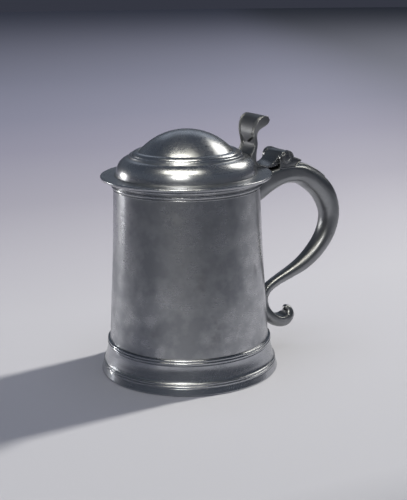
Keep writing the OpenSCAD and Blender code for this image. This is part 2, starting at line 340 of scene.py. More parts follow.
def mark_wear(mesh, hollow_full=900.0, edge_full=1600.0, rounds=3):
    """Stores how hollow and how sharp the surface is at each vertex, for grime and for rubbed edges."""
    count = len(mesh.vertices)
    co = np.empty(count * 3)
    no = np.empty(count * 3)
    ends = np.empty(len(mesh.edges) * 2, int)
    mesh.vertices.foreach_get("co", co)
    mesh.vertices.foreach_get("normal", no)
    mesh.edges.foreach_get("vertices", ends)
    co, no, ends = co.reshape(-1, 3), no.reshape(-1, 3), ends.reshape(-1, 2)
    a, b = ends[:, 0], ends[:, 1]
    step = co[b] - co[a]
    length2 = np.maximum((step ** 2).sum(1), 1e-12)
    bend_a = 2 * (step * no[a]).sum(1) / length2
    bend_b = -2 * (step * no[b]).sum(1) / length2
    most = np.zeros(count)
    least = np.zeros(count)
    for at, bend in ((a, bend_a), (b, bend_b)):
        np.maximum.at(most, at, bend)
        np.minimum.at(least, at, bend)
    hollow = np.clip(most / hollow_full, 0, 1)
    edge = np.clip(-least / edge_full, 0, 1)
    degree = np.maximum(np.bincount(np.concatenate([a, b]), minlength=count), 1)
    for _ in range(rounds):
        for field in (hollow, edge):
            spread = np.zeros(count)
            np.add.at(spread, a, field[b])
            np.add.at(spread, b, field[a])
            field[:] = 0.5 * field + 0.5 * spread / degree
    for label, field in (("hollow", hollow), ("edge", edge)):
        mark = mesh.attributes.get(label) or mesh.attributes.new(label, "FLOAT", "POINT")
        mark.data.foreach_set("value", field.astype(np.float32))


def fitted(piece, body, nodes):
    """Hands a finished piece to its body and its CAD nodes."""
    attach(piece, body)
    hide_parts(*nodes)
    return piece


# Finishes ----------------------------------------------------------------------------------------

RUN_ROUND = 52.0                            # radius at which distances round the drum are true, mm
GRIME = (0.075, 0.078, 0.085, 1)
RUBBED = (0.78, 0.78, 0.77, 1)
# Each set of scratches: the way it runs, how close it lies and the place it is drawn from.
SCRATCH_SETS = [(1.35, 0.9, 31.0), (-1.1, 0.8, 44.0), (0.4, 1.0, 57.0)]
SCRATCH_DEEP = 0.0015                       # mm
PIT_DEEP = 0.004                            # mm
SHARPEST_SHINE = 0.12


def pewter(name, light, dark, stain, smooth, dull, turning=0.0, casting=0.0, scratches=1.0,
           patch=1.0, rub=0.25, brushed=0.0):
    """Pewter with its skin: light and dark metal in soft clouds, stains, grime in the hollows, bright
    rubbed edges, fine scratches, and either turning lines or the grain of a casting, both in mm."""
    material, works = new_material(name)
    coordinates = works.node("ShaderNodeTexCoord", out="Object")
    mm = works.node("ShaderNodeVectorMath", {"operation": "SCALE"}, {0: coordinates, "Scale": 1 / MM})
    x, y, z = works.axes(mm)
    ring = y.maths("ARCTAN2", x * -1.0) * RUN_ROUND
    hollow = works.attribute("hollow")
    edge = works.attribute("edge")

    def noise(scale, detail=2.0, rough=0.5, vector=mm, shift=0.0):
        return works.node("ShaderNodeTexNoise", {"noise_dimensions": "4D"}, {
            "Vector": vector, "W": shift, "Scale": scale, "Detail": detail, "Roughness": rough})

    clouds = noise(0.028, 3.0, 0.55)
    mottle = noise(0.11, 4.0, 0.6, shift=3.0)
    specks = noise(0.9, 2.0, 0.6, shift=9.0)
    stains = noise(0.05, 3.0, 0.6, shift=21.0).rise(0.56, 0.74) * mottle.rise(0.35, 0.6)
    tone = (clouds.rise(0.34, 0.66) * 0.6 + mottle.rise(0.3, 0.7) * 0.4) * patch
    grime = (hollow * 0.42 + specks.rise(0.66, 0.78) * 0.16).held()
    metal = works.mixed(tone.held(), light, dark)
    metal = works.mixed((stains * 0.55 * patch).held(), metal, stain)
    metal = works.mixed(grime, metal, GRIME)
    metal = works.mixed((edge * rub).held(), metal, RUBBED)

    def scratch_set(turn, density, shift):
        """Long thin nicks that lie about one way; short lengths of them survive."""
        tilt_c, tilt_s = math.cos(turn), math.sin(turn)
        lengthwise = (ring * tilt_c + z * tilt_s) * 0.05
        across = (z * tilt_c - ring * tilt_s) * density
        line = noise(1.0, 1.0, 0.5, works.vector(lengthwise, across, 0.0), shift)
        thin = 1.0 - ((line - 0.5).maths("ABSOLUTE") * 26.0).held()
        where = noise(0.045, 1.0, 0.5, mm, shift + 1.0).rise(0.56, 0.66)
        return thin * where

    first, second, third = (scratch_set(*one) for one in SCRATCH_SETS)
    nicks = (first + second + third).held()
    wipes = noise(0.5, 3.0, 0.7, works.vector(ring * 0.3, z * 0.5, 0.0), 71.0)
    roughness = (smooth + (dull - smooth) * tone + stains * 0.1 + grime * 0.3 + (wipes - 0.5) * 0.06
                 - edge * 0.08 + nicks * 0.08 * scratches)
    height = nicks * (-SCRATCH_DEEP * scratches) + specks.rise(0.70, 0.82) * -PIT_DEEP
    if turning:
        travel = works.attribute("travel")
        lines = works.node("ShaderNodeTexNoise", {"noise_dimensions": "2D"}, {
            "Vector": works.vector(travel * 2.2, ring * 0.004, 0.0),
            "Scale": 1.0, "Detail": 3.0, "Roughness": 0.7})
        height = height + (lines - 0.5) * turning
        roughness = roughness + (lines - 0.5) * 0.10
    if casting:
        height = height + (noise(0.35, 3.0, 0.6, shift=80.0) - 0.5) * casting
        height = height + noise(1.6, 1.0, 0.5, shift=90.0).rise(0.64, 0.74) * (-0.25 * casting)
    bump = works.node("ShaderNodeBump", {}, {"Strength": 1.0, "Distance": MM, "Height": height})
    works.end_with(works.node("ShaderNodeBsdfPrincipled", {}, {
        "Base Color": metal, "Metallic": 1.0, "Roughness": roughness.maths("MAXIMUM", SHARPEST_SHINE),
        "Anisotropic": brushed, "Anisotropic Rotation": 0.25, "Normal": bump}))
    return material


def iron(name):
    """Drawn iron, dull and a little rusted."""
    material, works = new_material(name)
    coordinates = works.node("ShaderNodeTexCoord", out="Object")
    pulled = works.node("ShaderNodeMapping", {}, {0: coordinates, 3: (4000, 60, 4000)})
    drawn = works.node("ShaderNodeTexNoise", {}, {"Vector": pulled, "Scale": 1.0, "Detail": 2.0})
    spots = works.node("ShaderNodeTexNoise", {}, {"Vector": coordinates, "Scale": 900.0, "Detail": 4.0})
    rust = spots.rise(0.5, 0.7)
    colour = works.mixed(rust, (0.27, 0.26, 0.25, 1), (0.16, 0.09, 0.06, 1))
    bump = works.node("ShaderNodeBump", {}, {"Strength": 1.0, "Distance": MM, "Height": drawn * 0.02})
    works.end_with(works.node("ShaderNodeBsdfPrincipled", {}, {
        "Base Color": colour, "Metallic": 1.0 - rust * 0.6, "Roughness": 0.35 + drawn * 0.25,
        "Normal": bump}))
    return material


MIDDLE = (0.40, 0.41, 0.425, 1)
DEEP = (0.30, 0.31, 0.33, 1)
STAIN = (0.235, 0.235, 0.245, 1)

drum_finish = pewter("pewter.turned.drum", (0.50, 0.505, 0.52, 1), (0.295, 0.305, 0.325, 1), STAIN,
                     0.24, 0.34, turning=0.0008, patch=1.25, brushed=0.55)
foot_finish = pewter("pewter.turned.foot", (0.48, 0.49, 0.51, 1), (0.34, 0.355, 0.385, 1), STAIN,
                     0.20, 0.30, turning=0.0006, scratches=0.5, patch=0.8, rub=0.05, brushed=0.3)
lid_finish = pewter("pewter.turned.lid", (0.60, 0.61, 0.63, 1), (0.46, 0.47, 0.50, 1), STAIN,
                    0.24, 0.33, turning=0.0006, scratches=0.4, patch=0.8, rub=0.05, brushed=0.3)
inside_finish = pewter("pewter.turned.inside", MIDDLE, DEEP, STAIN, 0.34, 0.48, turning=0.004)
cast_finish = pewter("pewter.cast.handle", (0.28, 0.29, 0.30, 1), (0.20, 0.205, 0.215, 1),
                     (0.14, 0.14, 0.15, 1), 0.28, 0.38, casting=0.012, rub=0.5)
hinge_finish = pewter("pewter.cast.hinge", (0.14, 0.15, 0.165, 1), (0.08, 0.085, 0.095, 1),
                      (0.05, 0.055, 0.06, 1), 0.28, 0.40, casting=0.010, rub=0.25)
thumb_finish = pewter("pewter.cast.thumbpiece", (0.24, 0.245, 0.255, 1), (0.17, 0.175, 0.185, 1),
                      (0.11, 0.115, 0.12, 1), 0.38, 0.48, casting=0.010, rub=0.3)
solder_finish = pewter("pewter.solder", MIDDLE, DEEP, STAIN, 0.3, 0.45, casting=0.02)
rod_finish = iron("iron.drawn")


# Turned pieces -----------------------------------------------------------------------------------

FOOT_R = 62.5
DRUM_R = 56.0           # the drum where it stands in its foot
TURNED_SIDES = 192
BOTTOM_Z = 9.0
BOTTOM_T = 2.2
BASE_TOP = 23.6
WALL = 2.0
LIP_Z = 136.3
LIP_R = 51.9
NECK_R = 50.4
DRUM_KNOTS = [(56.0, BASE_TOP), (54.3, 50.0), (52.2, 86.0), (NECK_R, 128.6)]
LID_Z = LIP_Z + 0.4
FLANGE_TOP = LID_Z + 2.0
FLANGE_R = 59.1
PIN_X, PIN_Z = 73.4, 144.6


def bead(r, z, half_height, out, steps=8):
    """A half-round bead on a turned wall, going up."""
    return arc(r, z, out, half_height, -90, 90, steps)


def drum_radius(z):
    """Outer radius of the drum at a height."""
    knots = [(k[1], k[0]) for k in DRUM_KNOTS]
    return float(np.interp(z, [k[0] for k in knots], [k[1] for k in knots]))


def drum_outline():
    outer = [(56.0, BOTTOM_Z - 1, 0.3)] + through(DRUM_KNOTS, 5)
    outer += [(NECK_R, 129.0, 0.1)] + bead(NECK_R, 129.4, 0.35, 0.35, 6) + [(NECK_R, 129.95, 0.15)]
    outer += [(NECK_R + 0.25, 130.25, 0.1)]
    outer += bead(NECK_R + 0.3, LIP_Z - 4.9, 1.0, 0.9)
    outer += [(NECK_R + 0.35, LIP_Z - 3.65, 0.1), (LIP_R - 0.9, LIP_Z - 3.1, 0.1)]
    outer += arc(LIP_R - 1, LIP_Z - 1.7, 1.0, 1.3, -90, 62, 8)
    outer += [(LIP_R - 0.9, LIP_Z, 0.3)]
    inner = [(k[0] - WALL, k[1]) for k in reversed(DRUM_KNOTS)]
    inner[0] = (NECK_R - WALL, 128.0)
    return outer + [(NECK_R - WALL + 0.2, LIP_Z, 0.4)] + inner + [(DRUM_R - WALL, BOTTOM_Z - 1, 0.3)]


def base_outline():
    foot_bead, shoulder_bead = 6.6, 21.6
    outer = [(FOOT_R - 1.9, 0, 0.3), (FOOT_R - 0.2, 0, 0.3), (FOOT_R, 0.8, 0.5),
             (FOOT_R - 1.25, foot_bead - 2.0, 0.1)]
    outer += bead(FOOT_R - 1.6, foot_bead - 0.9, 0.7, 0.4)
    outer += bead(FOOT_R - 1.9, foot_bead + 0.7, 0.7, 0.4)
    hollow = [(FOOT_R - 2.3, foot_bead + 1.7), (FOOT_R - 2.9, foot_bead + 3.0),
              (FOOT_R - 3.5, foot_bead + 5.2), (FOOT_R - 4.15, foot_bead + 7.6),
              (FOOT_R - 4.7, foot_bead + 10.2), (FOOT_R - 5.0, shoulder_bead - 2.0)]
    outer += through(hollow, 3)
    outer += bead(57.3, shoulder_bead - 0.9, 0.9, 0.6)
    outer += bead(57.1, shoulder_bead + 0.9, 0.8, 0.6)
    outer += [(56.7, BASE_TOP - 0.15, 0.1)]
    inner = [(DRUM_R, BASE_TOP, 0.1), (DRUM_R, BOTTOM_Z - 1, 0.2), (57.0, BOTTOM_Z - 2.4, 0.8),
             (FOOT_R - 3.2, 1.2, 0.5)]
    return outer + inner


def bottom_outline():
    ring = 30.0
    return [(0, BOTTOM_Z + 0.6), (6, BOTTOM_Z + 0.6), (6.6, BOTTOM_Z + 0.3, 0.2),
            (ring - 1, BOTTOM_Z + 0.45, 0.3), (ring, BOTTOM_Z + 0.6, 0.3), (ring + 1, BOTTOM_Z, 0.3),
            (DRUM_R - WALL, BOTTOM_Z), (DRUM_R - WALL, BOTTOM_Z + BOTTOM_T),
            (52.0, BOTTOM_Z + BOTTOM_T + 0.05, 0.6), (0, BOTTOM_Z + BOTTOM_T)]


def lid_outline():
    dome_r, dome_h, wall_r, wall_h, ovolo = 32.0, 14.2, 48.5, 12.6, 10.0
    dome_z = FLANGE_TOP + wall_h + 2.9 + 0.8
    wall_top = FLANGE_TOP + wall_h
    sphere = (dome_r ** 2 + dome_h ** 2) / (2 * dome_h)
    centre = dome_z + dome_h - sphere
    rim = math.degrees(math.acos(dome_r / sphere))
    outer = arc(0, centre, sphere, sphere, 90, rim, 28)
    outer += [(dome_r + 0.35, dome_z - 0.5, 0.25)]
    outer += arc(dome_r + 1, wall_top + 1, 4.2, 2.9, 88, 2, 10)
    outer += arc(dome_r + 6.2, wall_top + 0.7, 0.9, 0.9, 150, 8, 8)
    outer += arc(wall_r - ovolo, FLANGE_TOP + 0.5, ovolo, wall_h - 0.7, 84, 0, 20)
    outer += [(wall_r + 0.1, FLANGE_TOP + 0.15, 0.3), (wall_r + 1.2, FLANGE_TOP - 0.02, 0.4)]
    outer += [(FLANGE_R - 2.2, FLANGE_TOP, 0.3)]
    outer += arc(FLANGE_R - 0.8, FLANGE_TOP - 0.6, 0.8, 0.7, 95, -20, 8)
    outer += [(FLANGE_R - 0.1, LID_Z + 0.5, 0.2), (FLANGE_R - 0.6, LID_Z, 0.3)]
    inner_sphere = sphere - 2.4
    inner_rim = math.degrees(math.acos((dome_r - 2) / inner_sphere))
    inner = [(wall_r - 2.5, LID_Z, 0.2), (wall_r - 2.5, FLANGE_TOP + 0.8)]
    inner += arc(wall_r - 11.5, FLANGE_TOP + 0.8, 9, wall_h - 2.4, 8, 90, 10)
    inner += [(dome_r + 0.6, wall_top - 1.2, 0.8), (dome_r - 1.2, wall_top + 0.4, 0.6)]
    inner += arc(0, centre, inner_sphere, inner_sphere, inner_rim, 90, 20)
    return outer + inner


def bezel_outline():
    r, t, depth = 47.2, 1.8, 5.5
    return [(r - t, LID_Z - depth, 0.3), (r - 0.5, LID_Z - depth, 0.3), (r, LID_Z - depth + 0.8, 0.3),
            (r, LID_Z, 0.1), (r - t, LID_Z, 0.1)]


def make_turned():
    jobs = [("drum.body", drum_outline, drum_finish, "tankard", "drum", 0.16, 0.12, 3.0),
            ("base.moulding", base_outline, foot_finish, "tankard", "base_moulding", 0.10, 0.05, 5.0),
            ("bottom.disc", bottom_outline, inside_finish, "tankard", "bottom_plate", 0.0, 0.0, 6.0),
            ("lid.domed", lid_outline, lid_finish, "lid", "lid", 0.16, 0.06, 8.0),
            ("lid.locating.ring", bezel_outline, inside_finish, "lid", "lid_bezel", 0.0, 0.0, 9.0)]
    for name, outline, finish, body, node, out_of_round, dents, seed in jobs:
        mesh = turned_mesh(name, outline(), finish, TURNED_SIDES, out_of_round, dents, seed)
        fitted(settled(name, mesh), body, [node])


# Cast pieces -------------------------------------------------------------------------------------

# The scroll's centre line from the drum, over the top and down to the curled end. Each station is
# [x, z, half thickness, half width, squareness of the outer side, depth of the inner channel].
SCROLL = [
    [50.0, 122.0, 11.8, 9.6, 2.2, 0], [57.0, 125.2, 10.0, 10.4, 3, 0], [64.0, 128.2, 8.5, 11.6, 6, 0],
    [72.0, 130.6, 7.4, 12.3, 8, 0], [80.0, 131.2, 6.9, 12.2, 8, 0], [92.0, 129.4, 7.2, 11.0, 3.4, 0],
    [103.2, 122.8, 7.8, 9.8, 2.4, 0], [110.8, 116.0, 8.2, 9.2, 2.2, 0], [116.0, 106.8, 7.9, 8.7, 2.2, 0],
    [118.1, 97.0, 7.2, 8.3, 2.2, 0], [116.3, 86.8, 6.7, 8.0, 2.2, 0], [111.6, 77.7, 6.2, 7.7, 2.2, 0],
    [104.0, 69.0, 5.8, 7.1, 2.2, 0], [94.6, 61.8, 5.2, 6.2, 2.2, 0], [84.2, 56.7, 4.3, 5.2, 2.2, 0],
    [73.4, 52.0, 3.7, 4.4, 2.2, 0], [65.6, 47.6, 3.5, 4.2, 2.2, 0], [61.6, 42.2, 3.6, 4.2, 2.2, 0],
    [61.0, 36.2, 3.8, 4.5, 2.4, 0], [62.6, 30.2, 4.4, 5.4, 3, 0.8], [67.2, 25.0, 4.8, 6.7, 3.4, 1.8],
    [73.0, 21.8, 5.1, 7.5, 3.4, 2.4], [78.6, 21.6, 5.2, 7.1, 3.4, 2.2], [82.3, 24.6, 4.6, 5.9, 3, 1.4],
    [82.2, 28.2, 3.3, 4.3, 2.4, 0.5], [80.3, 30.6, 1.8, 2.4, 2.2, 0]]
NECK_STATION = 17


def heading(u):
    """Direction of the scroll at u; it leaves the drum level."""
    step = 0.02
    p, q = along(SCROLL, max(0, u - step)), along(SCROLL, min(len(SCROLL) - 1, u + step))
    raw = math.atan2(q[1] - p[1], q[0] - p[0])
    return raw * u if u < 1 else raw


def signed_power(v, e):
    return math.copysign(abs(v) ** e, v)


def section_point(u, out, side):
    """A point of the section at u: out is towards the scroll's back, side is along the pin."""
    s, a = along(SCROLL, u), heading(u)
    return (s[0] - out * math.sin(a), side, s[1] + out * math.cos(a))


def section_ring(u, sides=64):
    """The outline of the scroll at station u, square to its length."""
    s = along(SCROLL, u)
    ring = []
    for k in range(sides):
        a = math.tau * k / sides
        c = math.cos(a)
        e = 2 / (s[4] if c > 0 else 2.2)
        out = s[2] * signed_power(c, e) - s[5] * max(0, c) ** 3
        ring.append(section_point(u, out, s[3] * signed_power(math.sin(a), e)))
    return ring


def loft(name, rings, finish):
    """A closed skin over rings of equal point counts; a fan of faces closes each end."""
    sides = len(rings[0])
    points = [tuple(c * MM for c in p) for ring in rings for p in ring]
    faces = []
    for i in range(len(rings) - 1):
        for k in range(sides):
            m = (k + 1) % sides
            faces.append((i * sides + k, i * sides + m, (i + 1) * sides + m, (i + 1) * sides + k))
    for first, ring in ((0, rings[0]), ((len(rings) - 1) * sides, rings[-1])):
        centre = tuple(sum(p[c] for p in ring) / sides * MM for c in range(3))
        points.append(centre)
        faces += [(first + k, first + (k + 1) % sides, len(points) - 1) for k in range(sides)]
    mesh = bpy.data.meshes.new(name)
    mesh.from_pydata(points, [], faces)
    return settled(name, mesh, finish)


def places(start, end, steps):
    return [start + (end - start) * i / steps for i in range(steps + 1)]


def make_handle():
    rings = [section_ring(u) for u in places(0, NECK_STATION, NECK_STATION * 9)]
    sunk = 0.5
    rings[0] = [(math.sqrt(max(0.0, drum_radius(z) ** 2 - y ** 2)) - sunk, y, z)
                for _, y, z in rings[0]]
    piece = loft("handle.scroll", rings, cast_finish)
    fitted(piece, "tankard", ["handle"])


def make_terminal():
    last = len(SCROLL) - 1
    rings = [section_ring(u) for u in places(NECK_STATION, last, (last - NECK_STATION) * 10)]
    tip = section_ring(last)
    middle = np.mean(np.array(tip), axis=0)
    ahead = np.array([math.cos(heading(last)), 0, math.sin(heading(last))])
    for grown in (0.35, 0.7, 0.9, 0.97):
        closing = math.sqrt(1 - grown ** 2)
        rings.append([tuple(middle + (np.array(p) - middle) * closing + ahead * grown) for p in tip])
    piece = loft("handle.terminal", rings, cast_finish)
    fitted(piece, "tankard", ["handle_terminal"])


def make_tongue():
    """A raised leaf on the handle's back that ends in a drop, rounded across."""
    first, last, steps, sides, sink, lift = 4, 6.6, 72, 32, 1.0, 1.2
    half_widths = [[6.0], [4.6], [3.4], [2.8], [3.4], [2.6], [0.6]]
    half_t = (lift + sink) / 2
    rings = []
    for i in range(steps + 1):
        v = i / steps
        u = first + (last - first) * v
        half_w = along(half_widths, v * 6)[0]
        level = along(SCROLL, u)[2] + lift - half_t
        thin = 0.4 if i == steps else 1
        ring = []
        for k in range(sides):
            a = math.tau * k / sides
            out = level + half_t * thin * signed_power(math.cos(a), 0.8)
            ring.append(section_point(u, out, half_w * math.sin(a)))
        rings.append(ring)
    piece = loft("handle.tongue", rings, hinge_finish)
    fitted(piece, "tankard", ["handle_tongue"])


def plate(outlines, width, easing, centre_y):
    """A mesh plate in X and Z: the first outline is its edge, the others are holes."""
    curve = bpy.data.curves.new("plate", "CURVE")
    curve.dimensions = "2D"
    curve.fill_mode = "BOTH"
    curve.extrude = (width / 2 - easing) * MM
    curve.bevel_depth = easing * MM
    curve.bevel_resolution = 2
    curve.offset = -easing * MM
    for outline in outlines:
        spline = curve.splines.new("POLY")
        spline.points.add(len(outline) - 1)
        for point, place in zip(spline.points, outline):
            point.co = (place[0] * MM, place[1] * MM, 0, 1)
        spline.use_cyclic_u = True
    blank = bpy.data.objects.new("plate", curve)
    bpy.context.scene.collection.objects.link(blank)
    mesh = plain_mesh("plate", blank)
    mesh.transform(Matrix.Translation((0, centre_y * MM, 0)) @ Matrix.Rotation(math.pi / 2, 4, "X"))
    return mesh


def joined(name, meshes, finish):
    """Several closed meshes as one piece."""
    work = bmesh.new()
    for mesh in meshes:
        part = bmesh.new()
        part.from_mesh(mesh)
        bmesh.ops.remove_doubles(part, verts=part.verts, dist=WELD)
        bmesh.ops.recalc_face_normals(part, faces=part.faces)
        if part.calc_volume(signed=True) < 0:
            bmesh.ops.reverse_faces(part, faces=part.faces)
        part.to_mesh(mesh)
        part.free()
        work.from_mesh(mesh)
        bpy.data.meshes.remove(mesh)
    whole = bpy.data.meshes.new(name)
    work.to_mesh(whole)
    work.free()
    return settled(name, whole, finish, outwards=False)


def circle(cx, cz, r, steps=48):
    turns = [math.tau * k / steps for k in range(steps)]
    return [(cx + r * math.cos(a), cz + r * math.sin(a)) for a in turns]


def shrunk(outline, by):
    """An outline moved inwards."""
    count = len(outline)
    area = sum(outline[i - 1][0] * outline[i][1] - outline[i][0] * outline[i - 1][1]
               for i in range(count))
    turn = 1 if area > 0 else -1
    made = []
    for i in range(count):
        p, q, r = (np.array(outline[j % count], float) for j in (i - 1, i, i + 1))
        d1, d2 = (q - p) / np.linalg.norm(q - p), (r - q) / np.linalg.norm(r - q)
        n1, n2 = np.array([-d1[1], d1[0]]) * turn, np.array([-d2[1], d2[0]]) * turn
        n = n1 + n2
        n /= max(1e-6, np.linalg.norm(n))
        made.append(tuple(q + n * by / max(0.5, n @ n1)))
    return made


def lug_outline():
    """The strap with its trough, run into the knuckle."""
    flange, trough_x, trough_r, knuckle = FLANGE_TOP, 58.5, 10.0, 5.0
    trough_z = flange + 0.9 + trough_r
    strap_x = 50.1
    low = [(strap_x, flange - 0.3), (60.2, flange - 0.3), (64.0, flange - 0.1)]
    ball = arc(PIN_X, PIN_Z, knuckle, knuckle, -122, 160, 30)
    trough = arc(trough_x, trough_z, trough_r, trough_r, -36, -142, 22)
    return low + ball + trough + [(strap_x, trough_z - 5.4)]


def ear_outline():
    """The ear: round over the pin, flat on the handle, with a leaf-shaped tail."""
    seat, round_r, cx, cz = 137.0, 5.7, PIN_X + 0.2, PIN_Z - 0.5
    tail = through([(80.0, seat), (81.4, 137.8), (83.2, 139.4), (85.8, 141.6)], 4)
    back = through([(85.6, 142.0), (83.6, 143.1), (81.4, 144.0), (79.5, 144.5)], 4)
    return [(67.9, seat), (74.0, seat)] + tail + back + arc(cx, cz, round_r, round_r, 8, 180, 26)


def lay_on_hinge(mesh, y, turn):
    """Tips a turned mesh over so that it starts at y on the hinge's axis."""
    place = Matrix.Translation((PIN_X * MM, y * MM, PIN_Z * MM))
    mesh.transform(place @ Matrix.Rotation(turn, 4, "X"))


def make_hinge():
    width, ear_t, gap = 24.8, 3.0, 0.3
    pin_r, lug_bore_r, cap_r, seat_r, cap_depth = 2.2, 2.25, 3.38, 3.42, 0.8
    lug_width = width - 2 * ear_t - 2 * gap
    outline = lug_outline()
    bore = circle(PIN_X, PIN_Z, lug_bore_r)
    parts = [plate([outline, bore], lug_width, 0.25, 0.0)]
    for side in (-1, 1):
        rim = plate([outline, shrunk(outline, 0.75)], 0.5, 0.2, side * (lug_width / 2 + 0.02))
        parts.append(rim)
    lug = joined("lid.strap", parts, hinge_finish)
    fitted(lug, "lid", ["lid_lug"])
    outline = ear_outline()
    for side, label in ((-1, "near"), (1, "far")):
        centre = side * (width - ear_t) / 2
        body = plate([outline, circle(PIN_X, PIN_Z, pin_r)], ear_t - 0.6, 0.15, centre - side * 0.3)
        rim = plate([outline, shrunk(outline, 0.8)], 0.9, 0.22, side * (width / 2 - 0.45))
        collar = plate([circle(PIN_X, PIN_Z, 4.2), circle(PIN_X, PIN_Z, seat_r)], 0.7, 0.18,
                       side * (width / 2 - 0.3))
        ear = joined("hinge.ear." + label, [body, rim, collar], hinge_finish)
        fitted(ear, "tankard", ["hinge_ear_" + label])
        cap = [(0, 0), (cap_r, 0, 0.1), (cap_r, 1.1, 0.35), (2.5, 1.25, 0.15),
               (2.25, 0.95, 0.12), (2.0, 1.15, 0.2), (0, 1.3)]
        mesh = turned_mesh("pin.cap." + label, cap, hinge_finish, 64, seed=11.0)
        lay_on_hinge(mesh, side * (width / 2 - cap_depth), side * -math.pi / 2)
        fitted(settled("pin.cap." + label, mesh), "tankard", ["pin_cap_" + label])
    length = width - 2 * cap_depth
    rod = [(0, 0), (pin_r, 0, 0.3), (pin_r, length, 0.3), (0, length)]
    mesh = turned_mesh("hinge.rod", rod, rod_finish, 48, seed=12.0)
    lay_on_hinge(mesh, width / 2 - cap_depth, math.pi / 2)
    fitted(settled("hinge.rod", mesh), "tankard", ["hinge_pin"])


# The thumbpiece: each station is [front x, front z, back x, back z, half width].
THUMB = [
    [47.3, 138.4, 50.8, 138.4, 9.4], [47.2, 141.6, 50.6, 141.0, 9.8], [46.7, 144.8, 50.0, 144.4, 10.2],
    [45.6, 147.6, 49.9, 148.2, 10.25], [46.6, 150.0, 50.2, 151.2, 10.25], [47.8, 152.6, 50.7, 153.6, 10.25],
    [48.4, 155.2, 51.0, 156.0, 10.25], [48.0, 158.2, 50.7, 158.6, 10.25], [47.5, 161.2, 50.4, 161.4, 10.4],
    [47.3, 164.2, 50.7, 164.0, 11.0], [47.8, 167.4, 51.9, 166.0, 11.7], [49.0, 170.6, 53.8, 167.3, 12.4],
    [50.7, 173.2, 55.7, 168.4, 12.9], [52.8, 174.8, 57.1, 169.4, 13.2], [55.2, 175.5, 58.1, 170.6, 13.25],
    [57.4, 175.1, 58.8, 172.0, 13.25]]


def make_thumbpiece():
    """An S-shaped plate: a bordered panel that ends below in an ogee point, and a dished shield
    under it."""
    steps, across, corner = 170, 76, 0.5
    falling = [math.pi / 2 * (1 - k / 6) for k in range(1, 6)]
    rising = [math.pi / 2 * k / 6 for k in range(1, 6)]
    rings = []
    for u in places(0, len(THUMB) - 1, steps):
        s = along(THUMB, u)
        front, back, half = np.array(s[0:2]), np.array(s[2:4]), s[4]
        thick = np.linalg.norm(front - back)
        outwards = (front - back) / thick
        section = []
        for k in range(across + 1):
            side = (half - corner) * (2 * k / across - 1)
            section.append((thick - carving(u, side, half), side))
        section += [(thick - corner + corner * math.sin(a), half - corner + corner * math.cos(a))
                    for a in falling]
        section += [(thick - corner, half), (0.5 * thick, half), (corner, half)]
        section += [(corner - corner * math.sin(a), half - corner + corner * math.cos(a))
                    for a in rising]
        for k in range(13):
            side = (half - corner) * (1 - k / 6)
            section.append((hollow_back(u, side, half), side))
        section += [(corner - corner * math.sin(a), corner - half - corner * math.cos(a))
                    for a in falling]
        section += [(corner, -half), (0.5 * thick, -half), (thick - corner, -half)]
        section += [(thick - corner + corner * math.sin(a), corner - half - corner * math.cos(a))
                    for a in rising]
        rings.append([(back[0] + outwards[0] * deep, side, back[1] + outwards[1] * deep)
                      for deep, side in section])
    tip_front, tip_back = np.array(THUMB[-1][0:2]), np.array(THUMB[-1][2:4])
    middle = np.array([(tip_front[0] + tip_back[0]) / 2, 0, (tip_front[1] + tip_back[1]) / 2])
    ahead = np.array([0.93, 0, -0.37])
    base = [np.array(p) for p in rings[-1]]
    for grown in (0.4, 0.75, 0.95):
        closing = math.sqrt(1 - grown ** 2)
        squeeze = np.array([closing, 1 - 0.04 * grown, closing])
        rings.append([tuple(middle + (p - middle) * squeeze + ahead * grown * 0.5) for p in base])
    piece = loft("lid.thumbpiece", rings, thumb_finish)
    fitted(piece, "lid", ["thumbpiece"])


def hollow_back(u, side, half):
    """The back of the thumbpiece is very slightly dished."""
    return 0.25 * (1 - (side / half) ** 2) * min(1.0, u / 3)


def carving(u, side, half):
    """How deep the thumbpiece's face is cut at station u, at a distance from its middle."""
    t = abs(side) / half
    from_edge = half - abs(side)
    depth = 0.0
    depth += 0.6 * math.exp(-((from_edge - 1.5) / 0.36) ** 2)
    depth += 0.45 * math.exp(-((from_edge - 3.0) / 0.34) ** 2)
    point = 6.5 + 1.7 * t ** 0.8
    below = min(1.0, max(0.0, (point - u) / 0.22))
    dish = 0.8 + 0.8 * (1 - t * t)
    inside = min(1.0, max(0.0, (from_edge - 0.9) / 0.5))
    depth += below * dish * inside * min(1.0, max(0.0, (u - 0.6) / 1.2))
    return depth


def make_lug():
    """The short lug between the drum and the handle's neck, with its solder run out round it."""
    outline = [(0, 0), (3.9, 0, 0.2), (3.3, 0.8, 0.5), (3.2, 1.6), (3.2, 4.4), (0, 4.4)]
    mesh = turned_mesh("handle.lug", outline, solder_finish, 64, seed=14.0)
    mesh.transform(Matrix.Translation((54.3 * MM, 0, 43.5 * MM)) @ Matrix.Rotation(math.pi / 2, 4, "Y"))
    fitted(settled("handle.lug", mesh), "tankard", ["lower_lug"])


